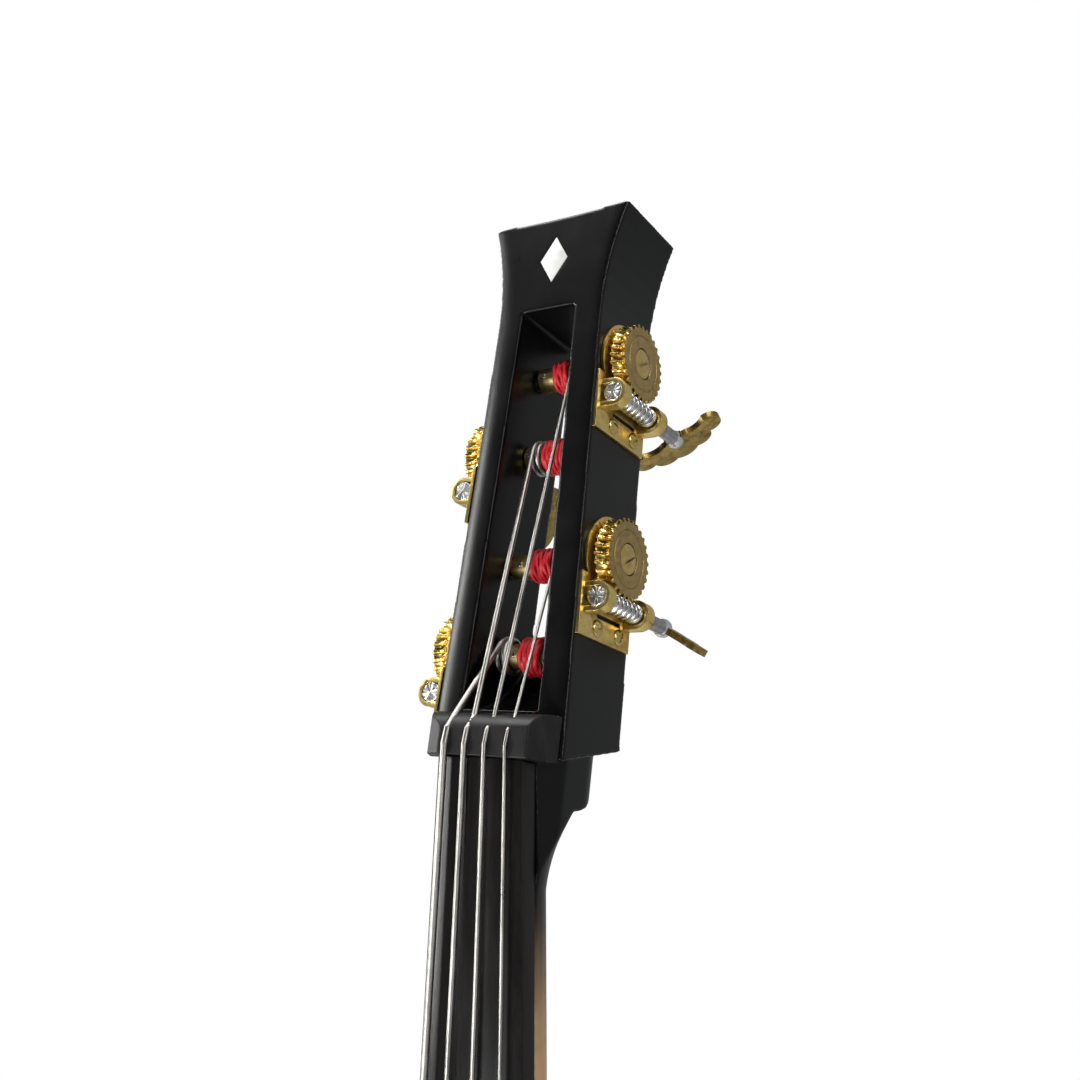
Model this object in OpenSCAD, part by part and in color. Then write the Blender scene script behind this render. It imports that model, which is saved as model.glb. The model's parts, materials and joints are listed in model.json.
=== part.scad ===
// Double bass, 3/4 size, with a slotted head and worm-geared tuning machines.
// Units: mm. Origin: centre of the rubber foot's flat underside. The front faces -Y,
// +X is to the right of someone who looks at the front, and +Z is up.

/* [Body] */
// height of the body's lower edge above the floor
body_bottom = 180; // [120:5:260]
// length of the ribs' outline
body_length = 1110; // [1090:5:1130]
// depth of the ribs
rib_depth = 184; // [160:2:210]
// thickness of the ribs
rib_wall = 2.5; // [2:0.5:4]
// thickness of both plates at the edge
plate_edge = 5; // [4:0.5:7]
// how far the plates stand out beyond the ribs
overhang = 5; // [3:0.5:7]
// height of the front plate's arch above its edge
arch_height = 28; // [22:1:34]
// thickness of the arched part
arch_wall = 7; // [6:0.5:9]

/* [Stop] */
// height of the bridge's centre line above the body's lower edge
bridge_up = 495; // [480:5:510]
// height of the bridge above the arch
bridge_height = 158; // [150:1:166]
// thickness of the bridge
bridge_thick = 18; // [14:1:22]
// thickness of the bridge at its crown
bridge_crown = 6; // [5:0.5:9]
// sounding length of the strings
string_length = 1050; // [1040:5:1060]

/* [Neck] */
// tilt of the fingerboard away from the body's plane, in degrees
neck_tilt = 10.5; // [10:0.1:11]
// length of the fingerboard
fingerboard_length = 850; // [820:5:870]
// fingerboard width at the nut
fingerboard_top = 41; // [40:0.5:43]
// fingerboard width at its free end
fingerboard_end = 88; // [80:1:92]
// radius of the fingerboard's camber
camber = 75; // [70:1:85]
// fingerboard thickness on the centre line at the nut
board_at_nut = 11; // [10:0.5:12]
// fingerboard thickness on the centre line at its free end
board_at_end = 22; // [20:0.5:24]

/* [Head] */
// tilt of the head away from the fingerboard, in degrees
head_tilt = 8.8; // [8:0.1:9.5]
// length of the head above the nut
head_length = 226; // [222:1:230]
// depth of the head, front to back
head_depth = 44.5; // [44:0.5:48]
// half the head's width at its lower end
head_low = 32.6; // [32.4:0.1:33]
// half the head's width at the narrowest point
head_waist = 27.1; // [27:0.1:27.4]
// half the head's width at the flared top
head_top = 35.8; // [34:0.2:38]
// height of the narrowest point
waist_height = 175; // [172:1:178]
// thickness of each cheek
cheek = 13.5; // [13:0.1:14]
// height of the slot's upper end
slot_top = 179; // [178:0.5:182]
// depth of the tuning machines' axes behind the front face
axis_depth = 22; // [21.5:0.5:22.5]
// heights of the four spool axes, from the uppermost down
spool_height = [156.2, 118, 68.5, 28.7];
// side of each machine: 1 is +X, -1 is -X
machine_side = [1, -1, 1, -1];

/* [Tuning machines] */
// number of teeth on the worm wheel
teeth = 28; // [28:1:28]
// distance between the spool's and the worm's axes
centre_distance = 19.6; // [19.6:0.1:19.8]
// outer radius of the worm wheel
wheel_radius = 17.3; // [17.2:0.1:17.4]
// thickness of the worm wheel
wheel_thick = 7; // [6.6:0.2:7]
// radius of the worm's crest
worm_crest = 4.3; // [4.2:0.1:4.3]
// radius of the worm's root
worm_root = 2.5; // [2.4:0.1:2.6]
// radius of the spool's shaft
shaft_radius = 4; // [3.8:0.1:4]
// radius of the spool's barrel
barrel_radius = 5.5; // [5.3:0.1:5.7]
// radial clearance of every running shaft
running_fit = 0.06; // [0.03:0.01:0.1]
// thickness of the machine's plate
plate_thick = 1.5; // [1.2:0.1:1.6]
// turn of each key about its worm's axis, in degrees
key_turn = [-27, 70, 30, 35];

/* [Strings] */
// radii of the strings, lowest first
string_radius = [1.45, 1.15, 0.9, 0.7];
// string positions across the nut
nut_x = [-14.5, -4.8, 4.8, 14.5];
// string positions across the bridge
bridge_x = [-40, -13.4, 13.4, 40];
// spool that each string runs to, counted from the top of the head
string_spool = [3, 1, 0, 2];
// where each string meets its spool, across the head
spool_x = [-14.5, -9.5, 6, 8.7];
// radius of the silk wrapping on the strings' ends
silk_radius = [1.7, 1.45, 1.2, 1.1];
// number of turns of wrapped string on each spool
silk_turns = [4, 5, 4, 6];
// position across the head of the first turn of wrapped string
silk_from = [-3.4, -4.1, -3.7, -4.2];
// number of turns of bare string on each spool
bare_turns = [1, 1, 0, 0];

/* [Endpin] */
// radius of the endpin's rod
rod_radius = 5; // [4:0.5:6]
// length of the rod
rod_length = 470; // [400:10:520]

/* [Hidden] */
$fn = 48;
eps = 0.01;
half_rib = rib_depth / 2;
front_edge = -half_rib - plate_edge;
apex = front_edge - arch_height;
bridge_z = body_bottom + bridge_up;
bridge_y = apex - bridge_height;
// the strings' height above the board's line at the bridge
lift_bridge = 11;
ebony = [0.06, 0.055, 0.05];
lacquer = [0.03, 0.03, 0.032];
maple = [0.83, 0.66, 0.42];
spruce = [0.87, 0.74, 0.52];
brass = [0.78, 0.6, 0.25];
steel = [0.72, 0.72, 0.74];
black_steel = [0.12, 0.12, 0.13];

// ---- frames -----------------------------------------------------------------
// the fingerboard's frame: x across, -y out of the board, z up along the board,
// origin on the board's surface under the strings' bend at the nut
neck_at = [0, bridge_y + string_length * sin(neck_tilt) + lift_bridge * cos(neck_tilt),
  bridge_z + string_length * cos(neck_tilt) - lift_bridge * sin(neck_tilt)];
// the head's frame: origin at the centre of the front face's lower edge
head_at = [0, 13.74, 11.63];

function tip(p, a) = [p[0], p[1] * cos(a) + p[2] * sin(a), p[2] * cos(a) - p[1] * sin(a)];
function from_neck(p) = tip(p, neck_tilt) + neck_at;
function from_head(p) = from_neck(tip(p, head_tilt) + head_at);

module in_neck() translate(neck_at) rotate([-neck_tilt, 0, 0]) children();
module in_head() in_neck() translate(head_at) rotate([-head_tilt, 0, 0]) children();

taper = atan((head_low - head_waist) / (waist_height + 17));
function half_width(z) = head_low - (z + 17) * tan(taper);
// frame of one machine: origin where the spool's axis leaves the cheek, +x outwards
module at_machine(i) in_head() mirror([machine_side[i] < 0 ? 1 : 0, 0, 0])
  translate([half_width(spool_height[i]), axis_depth, spool_height[i]])
  rotate([0, -taper, 0]) children();
// distance along that axis of a point across the head
function along(i, u) = (machine_side[i] * u - half_width(spool_height[i])) / cos(taper);

// a straight round bar between two points, with a round end at the first
module bar(a, b, r, ends = true) {
  d = b - a;
  translate(a) rotate([0, acos(d[2] / norm(d)), atan2(d[1], d[0])]) cylinder(r = r, h = norm(d));
  if (ends) translate(a) sphere(r + 0.03);
}

// ---- body -------------------------------------------------------------------
// centres and radii of the outline's arcs, measured up from the lower edge
low_c = [100, 262];
low_r = 230;
up_c = [80, 805];
up_r = 170;
waist_c = [350, 575];
waist_r = 165;
bottom_r = (low_c[0] * low_c[0] + low_c[1] * low_c[1] - low_r * low_r) / (2 * (low_c[1] - low_r));
corner_low = [246, 455];
corner_up = [243, 697];
shoulder = [36, body_length];

// where a line from p touches a circle, on the side s
function touch(p, c, r, s) = let(d = c - p, l = norm(d), g = asin(r / l), a = atan2(d[1], d[0]) + s * g)
  p + sqrt(l * l - r * r) * [cos(a), sin(a)];
function unit(v) = v / norm(v);
t_low = touch(corner_low, low_c, low_r, 1);
t_up = touch(corner_up, up_c, up_r, -1);
t_top = touch(shoulder, up_c, up_r, 1);
n_top = unit(t_top - up_c);
k_top = (n_top[1] - 1) / n_top[0];

module half_outline(g) {
  n_low = unit(t_low - low_c);
  n_up = unit(t_up - up_c);
  e_low = corner_low + 16 * unit(corner_low - t_low) + g * n_low;
  e_up = corner_up + 16 * unit(corner_up - t_up) + g * n_up;
  difference() {
    union() {
      translate(low_c) circle(low_r + g);
      translate(up_c) circle(up_r + g);
      polygon([[0, 100], low_c, t_low + g * n_low, e_low, e_up, t_up + g * n_up, up_c,
        t_top + g * n_top, [shoulder[0] + g * (n_top[0] + k_top * n_top[1]), body_length + g],
        [0, body_length + g]]);
      intersection() {
        translate([0, bottom_r]) circle(bottom_r + g);
        polygon([[0, bottom_r], [0, bottom_r] + 900 * unit(low_c - [0, bottom_r]), [0, -900]]);
      }
    }
    translate(waist_c) circle(waist_r - g);
  }
}

module outline(g) {
  intersection() {
    union() {
      half_outline(g);
      mirror([1, 0]) half_outline(g);
    }
    translate([-400, -g - 1]) square([800, body_length + 2 * g + 2]);
  }
}

// a slab with the body's outline between two depths
module slab(g, from, to) translate([0, to, body_bottom]) rotate([90, 0, 0])
  linear_extrude(to - from) outline(g);

// everything behind the front plate's arched surface, in front of the edge plane
module arch(back = 0) {
  ra = (300 * 300 + arch_height * arch_height) / (2 * arch_height);
  rl = (500 * 500 + arch_height * arch_height) / (2 * arch_height);
  translate([0, back, 0]) difference() {
    intersection() {
      translate([0, apex + rl, body_bottom + 540]) rotate([-90, 0, 0]) rotate([0, 90, 0])
        rotate([0, 0, -8]) rotate_extrude(angle = 16, $fn = 1440)
        translate([rl - ra, 0]) circle(ra, $fn = 720);
      slab(-9, front_edge - 60, front_edge);
    }
    for (s = [-1, 1]) translate([s * waist_c[0], front_edge, body_bottom + waist_c[1]])
      rotate([90, 0, 0]) rotate_extrude()
      polygon([[0, -1], [waist_r + 12, -1], [waist_r + 14, 0.2], [waist_r + 45, 5],
        [waist_r + 80, 14], [waist_r + 112, 30], [waist_r + 112, 70], [0, 70]]);
  }
}

// the space inside the ribs and under the arch
module cavity() {
  arch(arch_wall);
  slab(-rib_wall, -half_rib, half_rib);
}

module sound_hole() {
  r = 112;
  rotate(14) {
    for (s = [0, 1]) rotate(180 * s) intersection() {
      translate([-r, 0]) difference() {
        circle(r + 5);
        circle(r - 5);
      }
      polygon([[-r, 0], [60, 0], [60, 60], [-r + 190 * cos(52), 190 * sin(52)]]);
    }
    translate([-r + r * cos(52), r * sin(52)]) circle(9);
    translate([r - r * cos(52), -r * sin(52)]) circle(12);
  }
}

module top_plate() color(lacquer) difference() {
  union() {
    slab(overhang, front_edge, -half_rib);
    arch();
  }
  arch(arch_wall);
  for (s = [0, 1]) mirror([s, 0, 0])
    translate([108, -half_rib + 1, bridge_z + 5]) rotate([90, 0, 0])
    linear_extrude(60) sound_hole();
  translate([-45, front_edge - 1, body_bottom + body_length])
    cube([90, plate_edge + 2, 20]);
}

module back_plate() color(lacquer) {
  slab(overhang, half_rib, half_rib + plate_edge);
  translate([0, half_rib, body_bottom + body_length + 6]) rotate([-90, 0, 0])
    cylinder(r = 30, h = plate_edge);
}

module ribs() color(lacquer) difference() {
  slab(0, -half_rib, half_rib);
  slab(-rib_wall, -half_rib - 1, half_rib + 1);
  translate([0, 0, body_bottom - 5]) cylinder(r = 13, h = 20);
}

module linings() color(spruce) difference() {
  for (y = [-half_rib, half_rib - 16]) difference() {
    slab(-rib_wall, y, y + 16);
    slab(-rib_wall - 6, y - 1, y + 17);
  }
  blocks_space();
}

corner_z = [402, 694];
corner_h = 58;
// boxes that hold the blocks, cut to the inside of the ribs
module blocks_space() {
  translate([-60, -half_rib - 1, body_bottom + body_length - 62]) cube([120, rib_depth + 2, 80]);
  translate([-60, -half_rib - 1, body_bottom - 5]) cube([120, rib_depth + 2, 60]);
  for (s = [-1, 1]) {
    for (z = corner_z) translate([s * 234 - 36, -half_rib - 1, body_bottom + z])
      cube([72, rib_depth + 2, corner_h]);
  }
}

module block(x, z, w, h) intersection() {
  slab(-rib_wall, -half_rib, half_rib);
  translate([x - w / 2, -half_rib, z]) cube([w, rib_depth, h]);
}

module top_block() color(spruce) block(0, body_bottom + body_length - 62, 120, 80);

module bottom_block() color(spruce) difference() {
  block(0, body_bottom - 5, 120, 60);
  translate([0, 0, body_bottom - 5]) cylinder(r = 13, h = 80);
}

module corner_blocks() color(spruce) for (s = [-1, 1], z = corner_z)
  block(s * 234, body_bottom + z, 72, corner_h);

module back_braces() color(spruce) for (z = [200, 500, 850]) intersection() {
  slab(-rib_wall - 6.5, half_rib - 17, half_rib);
  translate([-400, half_rib - 16, body_bottom + z]) cube([800, 16, 24]);
}

module bass_bar() color(spruce) intersection() {
  cavity();
  translate([-62, apex, body_bottom + 190]) cube([12, -apex - 76, 720]);
}

module sound_post() color(spruce) intersection() {
  cavity();
  translate([58, half_rib, bridge_z - 32]) rotate([90, 0, 0])
    cylinder(r = 9, h = rib_depth + arch_height);
}

module saddle() color(ebony) difference() {
  translate([-35, front_edge - 12, body_bottom - overhang]) cube([70, 12, 14]);
  for (s = [-1, 1], k = [0 : 1]) bar(wire_route(s)[k + 1], wire_route(s)[k], 1.7);
}

// ---- bridge, tailpiece and tail wire ------------------------------------------
crown = 85;
function crown_y(x) = bridge_y + crown - sqrt(crown * crown - x * x);

// the feet reach this far under the arch's highest line before they are fitted to it
foot = 6;

module bridge_shape() difference() {
  polygon([[-74, 0], [-76, 12], [-62, 38], [-56, 68], [-50, 108], [-50, 170], [50, 170], [50, 108],
    [56, 68], [62, 38], [76, 12], [74, 0]]);
  // above the crown
  difference() {
    translate([-60, 112]) square([120, 70]);
    translate([0, bridge_height + foot - crown]) circle(crown);
  }
  translate([0, -16]) circle(48);
  translate([0, 84]) circle(13);
  for (s = [-1, 1]) {
    translate([s * 68, 56]) circle(15);
    translate([s * 22, 62]) circle(8);
    translate([s * 30, 108]) circle(6);
  }
}

module bridge() color(maple) difference() {
  intersection() {
    translate([0, apex + foot, bridge_z - bridge_thick / 2]) mirror([0, 1, 0])
      linear_extrude(bridge_thick) bridge_shape();
    // both faces draw in towards the crown
    translate([-90, 0, bridge_z]) rotate([90, 0, 90]) linear_extrude(180)
      polygon([[bridge_y - 5, -bridge_crown / 2], [bridge_y - 5, bridge_crown / 2],
        [apex + foot + 1, bridge_thick / 2 + 0.2], [apex + foot + 1, -bridge_thick / 2 - 0.2]]);
  }
  arch();
  for (i = [0 : 3]) bridge_slot(i);
}

// where each string bends over the bridge
function bridge_bend(i) = [bridge_x[i], crown_y(bridge_x[i]), bridge_z];
module bridge_slot(i) {
  r = string_radius[i] + 0.05;
  bar(bridge_bend(i), from_head(bend_low(i)), r);
  bar(bridge_bend(i), string_anchor(i), r);
  // open towards the top
  translate([bridge_x[i] - r, crown_y(bridge_x[i]) - 9, bridge_z - 12]) cube([2 * r, 9, 24]);
}

// the tailpiece lies on the line from the bridge's top to the saddle
tail_a = [0, bridge_y, bridge_z];
tail_b = [0, front_edge - 12, body_bottom];
tail_tilt = atan2(tail_b[1] - tail_a[1], tail_a[2] - tail_b[2]);
tail_length = norm(tail_b - tail_a);
module in_tail() translate(tail_a) rotate([tail_tilt, 0, 0]) children();
function from_tail(p) = tip(p, -tail_tilt) + tail_a;
tail_from = 175;
tail_to = 470;
tail_x = [-28, -9.5, 9.5, 28];

// where each string turns into the tailpiece
function string_anchor(i) = from_tail([tail_x[i], -8, -tail_from - 26]);

module tailpiece() color(ebony) difference() {
  tailpiece_blank();
  for (s = [-1, 1]) bar(wire_route(s)[0], wire_route(s)[1], 1.6);
}

module tailpiece_blank() in_tail() difference() {
  intersection() {
    translate([0, 22, 0]) rotate([90, 0, 0]) linear_extrude(30)
      polygon([[-43, -tail_from], [43, -tail_from], [24, -tail_to], [-24, -tail_to]]);
    translate([0, 60, -tail_to - 5]) cylinder(r = 64, h = tail_to);
    translate([-50, -5, -tail_to - 5]) cube([100, 17, tail_to]);
  }
  for (i = [0 : 3]) translate([tail_x[i], -20, -tail_from - 26]) rotate([-90, 0, 0])
    cylinder(r = string_radius[i] + 0.3, h = 60);
}

// the wire runs from the tailpiece over the saddle and round the endpin's socket
wire_reach = 20.4;
function wire_route(s) = [from_tail([s * 12, 3, -tail_to + 29]),
  [s * 12, front_edge - 12.2, body_bottom + 4],
  [s * 12, front_edge - 11, body_bottom - 9],
  [s * (wire_reach - 1), -14, body_bottom - 10.5],
  [s * wire_reach, 2, body_bottom - 10.5]];

module tail_wire() color(steel) {
  for (s = [-1, 1]) {
    route = wire_route(s);
    for (k = [0 : 3]) bar(route[k + 1], route[k], 1.5);
  }
  translate([0, 2, body_bottom - 10.5]) rotate_extrude(angle = 180)
    translate([wire_reach, 0]) circle(1.5);
}

// ---- neck and head ------------------------------------------------------------
seat_tilt = atan((board_at_end - board_at_nut) / fingerboard_length);
module in_seat() in_neck() translate([0, board_at_nut, 0]) rotate([seat_tilt, 0, 0]) children();
neck_reach = (neck_at[2] - body_bottom - body_length) / cos(neck_tilt);

module head_face() {
  flare_z = head_length - waist_height;
  flare = (flare_z * flare_z + pow(head_top - head_waist, 2)) / (2 * (head_top - head_waist));
  difference() {
    polygon([[-head_low, -17], [head_low, -17], [head_waist, waist_height], [head_top + 4, waist_height],
      [head_top + 4, head_length], [-head_top - 4, head_length], [-head_top - 4, waist_height],
      [-head_waist, waist_height]]);
    for (s = [-1, 1]) translate([s * (head_waist + flare), waist_height]) circle(flare, $fn = 96);
    translate([0, head_length + 397.6]) circle(400, $fn = 96);
  }
}

// the rounded chin, seen from the side and from above
module chin_side() union() {
  translate([24, -13]) circle(20.6);
  translate([0, -34]) square([24, 30]);
}

module chin_plan() {
  polygon([[-20.5, 0], [20.5, 0], [26, 14], [26, 30], [-26, 30], [-26, 14]]);
  for (s = [-1, 1]) translate([12 * s, 30]) circle(14);
  translate([-12, 28]) square([24, 16]);
}

module head_block() in_head() {
  difference() {
    translate([0, head_depth, 0]) rotate([90, 0, 0]) linear_extrude(head_depth) head_face();
    translate([-50, 0, -17]) rotate([12.6, 0, 0]) translate([0, -20, -30]) cube([100, 90, 30]);
    // the slot, open at the front and the back
    translate([0, head_depth + 1, 0]) rotate([90, 0, 0]) linear_extrude(head_depth + 2)
      polygon([[cheek - half_width(0), -0.5], [half_width(0) - cheek, -0.5],
        [half_width(slot_top) - cheek, slot_top], [cheek - half_width(slot_top), slot_top]]);
  }
  // the hollow ramp at the slot's lower end
  intersection() {
    translate([25, 0, 0]) rotate([0, -90, 0]) linear_extrude(50) difference() {
      translate([-1, 0]) square([45, head_depth]);
      translate([46, 0.5]) circle(44.1);
    }
    translate([0, head_depth, 0]) rotate([90, 0, 0]) linear_extrude(head_depth)
      polygon([[-half_width(0), -1], [half_width(0), -1], [half_width(46), 46], [-half_width(46), 46]]);
  }
}

// the chin under the head, clear of the fingerboard
module chin() difference() {
  in_head() intersection() {
    translate([30, 0, 0]) rotate([90, 0, -90]) linear_extrude(60) mirror([1, 0]) chin_side();
    translate([0, 0, -40]) linear_extrude(40) chin_plan();
  }
  in_seat() translate([-80, -60, -90]) cube([160, 60, 200]);
}

// flat part of the shaft's sides under the fingerboard
side_flat = 1;

// the hollow below the chin, running out into the neck's back
module chin_hollow() difference() {
  intersection() {
    in_seat() translate([0, side_flat, 0]) rotate_extrude() difference() {
      translate([0, -60]) square([37, 40]);
      translate([86.3, -61]) circle(64.5);
    }
    in_head() translate([0, 0, -80]) linear_extrude(80) chin_plan();
  }
  in_seat() translate([-80, -60, -90]) cube([160, 60, 200]);
}

module neck_shaft() in_seat() {
  h = neck_reach + 30;
  r1 = fingerboard_top / 2;
  k = (fingerboard_end - fingerboard_top) / 2 / fingerboard_length;
  intersection() {
    translate([0, side_flat, -h]) cylinder(r1 = r1 + k * h, r2 = r1, h = h);
    translate([-60, side_flat, -h]) cube([120, 60, h]);
  }
  translate([0, side_flat + 0.1, 0]) rotate([90, 0, 0]) linear_extrude(side_flat + 0.1)
    polygon([[-r1, 0], [r1, 0], [r1 + k * h, -h], [-r1 - k * h, -h]]);
}

// the heel runs back to the button of the back plate
module heel() {
  z0 = body_bottom + body_length;
  w = 32;
  intersection() {
    translate([0, 0, z0]) linear_extrude(140) union() {
      translate([0, half_rib - w]) circle(w);
      translate([-w, -170]) square([2 * w, 170 + half_rib - w]);
    }
    translate([50, 0, z0]) rotate([90, 0, -90]) linear_extrude(100) mirror([1, 0]) difference() {
      translate([-150, 0]) square([150 + half_rib, 150]);
      translate([half_rib - 61, 150]) circle(109, $fn = 96);
      translate([half_rib - 61, 41]) square([90, 120]);
    }
    in_seat() translate([-80, 0, -700]) cube([160, 400, 700]);
  }
}

module neck() color(lacquer) difference() {
  union() {
    head_block();
    chin();
    chin_hollow();
    difference() {
      union() {
        neck_shaft();
        heel();
      }
      translate([-80, -200, body_bottom + body_length - 60]) cube([160, 400, 60]);
      in_head() translate([-60, -30, -18.3]) cube([120, 30.5, 60]);
    }
  }
  in_head() translate([0, 0.4, 203]) rotate([90, 0, 0]) linear_extrude(2) lozenge();
  // bores and screw holes for the machines
  for (i = [0 : 3]) at_machine(i) {
    translate([-cheek - 2, 0, 0]) rotate([0, 90, 0])
      cylinder(r = shaft_radius + running_fit, h = cheek + 3);
    translate([far_end(i) - 0.3, 0, 0]) rotate([0, 90, 0])
      cylinder(r = far_radius + running_fit, h = 12);
    for (y = screw_y) translate([-10, y, -30])
      rotate([0, 90, 0]) cylinder(r = 1.8, h = 11);
  }
}

module lozenge() polygon([[0, -11], [7, 0], [0, 11], [-7, 0]]);

module head_inlay() color([0.9, 0.9, 0.88]) in_head() translate([0, 0.4, 203])
  rotate([90, 0, 0]) linear_extrude(0.4) lozenge();

module fingerboard() color(ebony) difference() {
  intersection() {
    in_neck() translate([0, camber, -fingerboard_length])
      cylinder(r = camber, h = fingerboard_length + 20);
    in_seat() rotate([90, 0, 0]) linear_extrude(60)
      polygon([[-fingerboard_top / 2, 20], [fingerboard_top / 2, 20], [fingerboard_top / 2, 0],
        [fingerboard_end / 2, -fingerboard_length - 5], [-fingerboard_end / 2, -fingerboard_length - 5],
        [-fingerboard_top / 2, 0]]);
  }
  in_head() translate([-60, -60, -18]) cube([120, 120, 60]);
  // the hollow under the free end
  in_seat() translate([0, 52, -fingerboard_length - 10])
    cylinder(r = 60, h = fingerboard_length - neck_reach - 20);
}

nut_depth = 12.9;
module nut() color(ebony) in_head() difference() {
  intersection() {
    translate([0, 0, -18]) linear_extrude(18)
      polygon([[-31, 0], [-24.5, -10.5], [-18, -nut_depth], [23.8, 0.6 - nut_depth], [31, 0]]);
    translate([-40, 0, 0]) rotate([90, 0, 90]) linear_extrude(80) union() {
      translate([-nut_depth + 9, -9]) circle(9);
      translate([-nut_depth, -18]) square([nut_depth, 9]);
      translate([-nut_depth + 9, -18]) square([nut_depth - 9, 18]);
    }
  }
  for (i = [0 : 3]) nut_groove(i);
}

// where each string's centre line bends, in the head's frame
function bend_low(i) = [nut_x[i], -13, -13.8];
function bend_mid(i) = [nut_x[i], -12.2, -7.6];
function bend_high(i) = [nut_x[i], -8.6, -2.2];
function spool_at(i) = let(k = string_spool[i], side = machine_side[k], z = spool_height[k])
  [spool_x[i], axis_depth, z + tan(taper) * side * (spool_x[i] - side * half_width(z))];
// tangent from the last bend to the front of the winding
function landing(i) = let(c = spool_at(i), r = barrel_radius + string_radius[i] + 0.3,
  d = [c[1] - bend_high(i)[1], c[2] - bend_high(i)[2]], l = norm(d),
  a = atan2(d[1], d[0]) + asin(r / l), m = sqrt(l * l - r * r))
  [spool_x[i], bend_high(i)[1] + m * cos(a), bend_high(i)[2] + m * sin(a)];

module nut_groove(i) {
  r = string_radius[i] + 0.02;
  bar(bend_low(i), bend_low(i) + [0, 1.6, -8], r);
  bar(bend_mid(i), bend_low(i), r);
  bar(bend_high(i), bend_mid(i), r);
  bar(bend_high(i), landing(i), r);
}

module string_run(i) {
  r = string_radius[i];
  tail_point = string_anchor(i);
  ball = from_tail([tail_x[i], 14.5, -tail_from - 26]);
  bar(from_head(bend_low(i)), bridge_bend(i), r);
  bar(from_head(bend_mid(i)), from_head(bend_low(i)), r);
  bar(from_head(bend_high(i)), from_head(bend_mid(i)), r);
  bar(from_head(bend_high(i)), from_head(landing(i)), r, false);
  bar(bridge_bend(i), tail_point, r);
  bar(tail_point, ball, r);
  translate(ball) sphere(r + 1.6);
}

module string_e() color(steel) string_run(0);
module string_a() color(steel) string_run(1);
module string_d() color(steel) string_run(2);
module string_g() color(steel) string_run(3);

// ---- tuning machines ------------------------------------------------------------
wheel_in = plate_thick + 2;
worm_x = wheel_in + wheel_thick / 2;
pitch = 2 * 180 / teeth * PI / 180 * (wheel_radius - 1.1);
screw_y = [-6, 11.5];
far_radius = 3;
// positions across the head of the barrel's ends, the pin and the hole for the string
barrel_u = [[-12.5, 13], [-14.6, 14], [-14.5, 16], [-16.9, 17]];
pin_u = [-9.8, -12.4, -9.8, -7.4];
hole_u = [10, 11, 12, 11];
function far_end(i) = along(i, -machine_side[i] * (half_width(spool_height[i]) - cheek)) - 8;

module plate_face() difference() {
  union() {
    circle(18.4);
    translate([-20.5, -35.1]) square([41, 25.8]);
  }
  circle(shaft_radius + running_fit);
  translate([-7, -25.9]) square([19, 1.8]);
  for (y = screw_y) translate([y, -30]) circle(1.5);
}

// a strap that carries the worm: y from a to b, bore r
module strap(a, b, r) difference() {
  union() {
    translate([worm_x, b, -centre_distance]) rotate([90, 0, 0]) cylinder(r = 6.2, h = b - a);
    translate([plate_thick - 0.5, a, -centre_distance - 6.2]) cube([worm_x - plate_thick + 0.5, b - a, 12.4]);
  }
  translate([worm_x, b + 1, -centre_distance]) rotate([90, 0, 0]) cylinder(r = r, h = b - a + 2);
}

module machine_plate(i) color(brass) at_machine(i) {
  rotate([90, 0, 90]) linear_extrude(plate_thick) plate_face();
  difference() {
    strap(-18.2, -12.4, worm_crest + running_fit);
    translate([plate_thick, -19, -centre_distance - 4]) cube([worm_x - plate_thick, 8, 8]);
  }
  strap(14.4, 20.4, 3.2 + running_fit);
}

module plate_screw() rotate([0, 90, 0]) {
  difference() {
    intersection() {
      translate([0, 0, -3.2]) sphere(5);
      cylinder(r = 3.6, h = 3);
    }
    translate([-0.45, -5, 1.1]) cube([0.9, 10, 2]);
  }
  translate([0, 0, -plate_thick - 9.5]) cylinder(r = 1.5, h = plate_thick + 9.6);
}

module plate_screws() color(brass) for (i = [0 : 3], y = screw_y)
  at_machine(i) translate([plate_thick, y, -30]) rotate([20 * i + 3 * y, 0, 0]) plate_screw();

module worm_wheel(i) color(brass) at_machine(i) difference() {
  translate([wheel_in, 0, 0]) rotate([0, 90, 0]) difference() {
    cylinder(r = wheel_radius, h = wheel_thick, $fn = 96);
    for (k = [0 : teeth - 1]) rotate(k * 360 / teeth) translate([0, 0, -1])
      linear_extrude(wheel_thick + 2)
      polygon([[14.9, -0.62], [14.9, 0.62], [16.2, 1.05], [18.5, 1.75], [18.5, -1.75], [16.2, -1.05]]);
    translate([0, 0, wheel_thick / 2]) rotate_extrude()
      translate([centre_distance, 0]) circle(worm_root + 0.35);
    // the turned step near the rim, the bore and the screw's seat
    translate([0, 0, wheel_thick - 0.3]) difference() {
      cylinder(r = 12.4, h = 1);
      translate([0, 0, -1]) cylinder(r = 11.9, h = 3);
    }
    translate([0, 0, -1]) cylinder(r = shaft_radius, h = wheel_thick + 2);
    translate([0, 0, wheel_thick - 1]) cylinder(r = 6.8, h = 2);
  }
}

module wheel_screw(i) color(brass) at_machine(i) translate([wheel_in + wheel_thick - 1, 0, 0])
  rotate([0, 90, 0]) {
    difference() {
      intersection() {
        cylinder(r = 6.5, h = 2.4);
        translate([0, 0, -12.2]) sphere(14.4);
      }
      rotate(123) translate([-8, -0.6, 1.1]) cube([16, 1.2, 3]);
    }
    translate([0, 0, -8]) cylinder(r = 2.2, h = 8.2);
  }

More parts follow.
